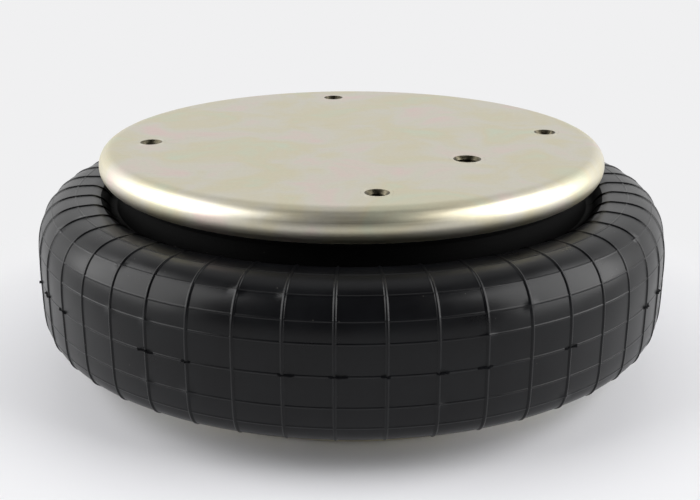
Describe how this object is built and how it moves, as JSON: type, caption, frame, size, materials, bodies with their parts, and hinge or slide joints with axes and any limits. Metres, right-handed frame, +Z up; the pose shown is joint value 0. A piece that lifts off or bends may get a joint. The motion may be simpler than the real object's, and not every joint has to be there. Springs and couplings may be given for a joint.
{
  "type": "air bellows actuator",
  "caption": "Single-convolution rubber air bellows crimped between flat round steel bead plates, with tapped bolt holes and a threaded air inlet, for short lifting strokes.",
  "frame": {"origin": "centre of the lower bead plate's outer face, which the part rests on", "axes": "+Z up along the stroke, towards the plate with the air inlet; +X through one bolt hole of each plate; the air inlet lies between +X and -Y"},
  "size_m": [0.3589, 0.359, 0.122],
  "materials": {
    "zinc_plated_sheet": "satin zinc plating with a faint yellow passivation",
    "zinc_plated_nut": "zinc plated, machined chamfer and tapped bore",
    "black_rubber": "moulded satin with fine moulding lines",
    "liner_rubber": "smooth calendered",
    "cord_fabric": "rubberised cord fabric",
    "bead_wire": "bronze coated wire"
  },
  "bodies": {
    "base": {"bottom_bead_plate": "zinc_plated_sheet", "bottom_blind_nut_1": "zinc_plated_nut", "bottom_blind_nut_2": "zinc_plated_nut", "bottom_blind_nut_3": "zinc_plated_nut", "bottom_blind_nut_4": "zinc_plated_nut", "bottom_bead_core": "bead_wire"},
    "wall": {"outer_cover": "black_rubber", "outer_ply": "cord_fabric", "inner_ply": "cord_fabric", "inner_liner": "liner_rubber"},
    "top": {"top_bead_plate": "zinc_plated_sheet", "top_blind_nut_1": "zinc_plated_nut", "top_blind_nut_2": "zinc_plated_nut", "top_blind_nut_3": "zinc_plated_nut", "top_blind_nut_4": "zinc_plated_nut", "air_inlet_nut": "zinc_plated_nut", "top_bead_core": "bead_wire"}
  },
  "joints": [
    {"name": "lower_half_stroke", "type": "slide", "parent": "base", "child": "wall", "axis": [0, 0, 1], "range_m": [-0.024, 0.014], "stiffness_N_per_m": 6000, "springref_m": 0.00391, "deforming": ["outer_cover", "outer_ply", "inner_ply", "inner_liner"]},
    {"name": "upper_half_stroke", "type": "slide", "parent": "wall", "child": "top", "axis": [0, 0, 1], "range_m": [-0.024, 0.014], "stiffness_N_per_m": 6000, "springref_m": 0.00391, "deforming": ["outer_cover", "outer_ply", "inner_ply", "inner_liner"]}
  ],
  "couplings": [
    {"joint": "upper_half_stroke", "follows": "lower_half_stroke", "ratio": 1}
  ]
}
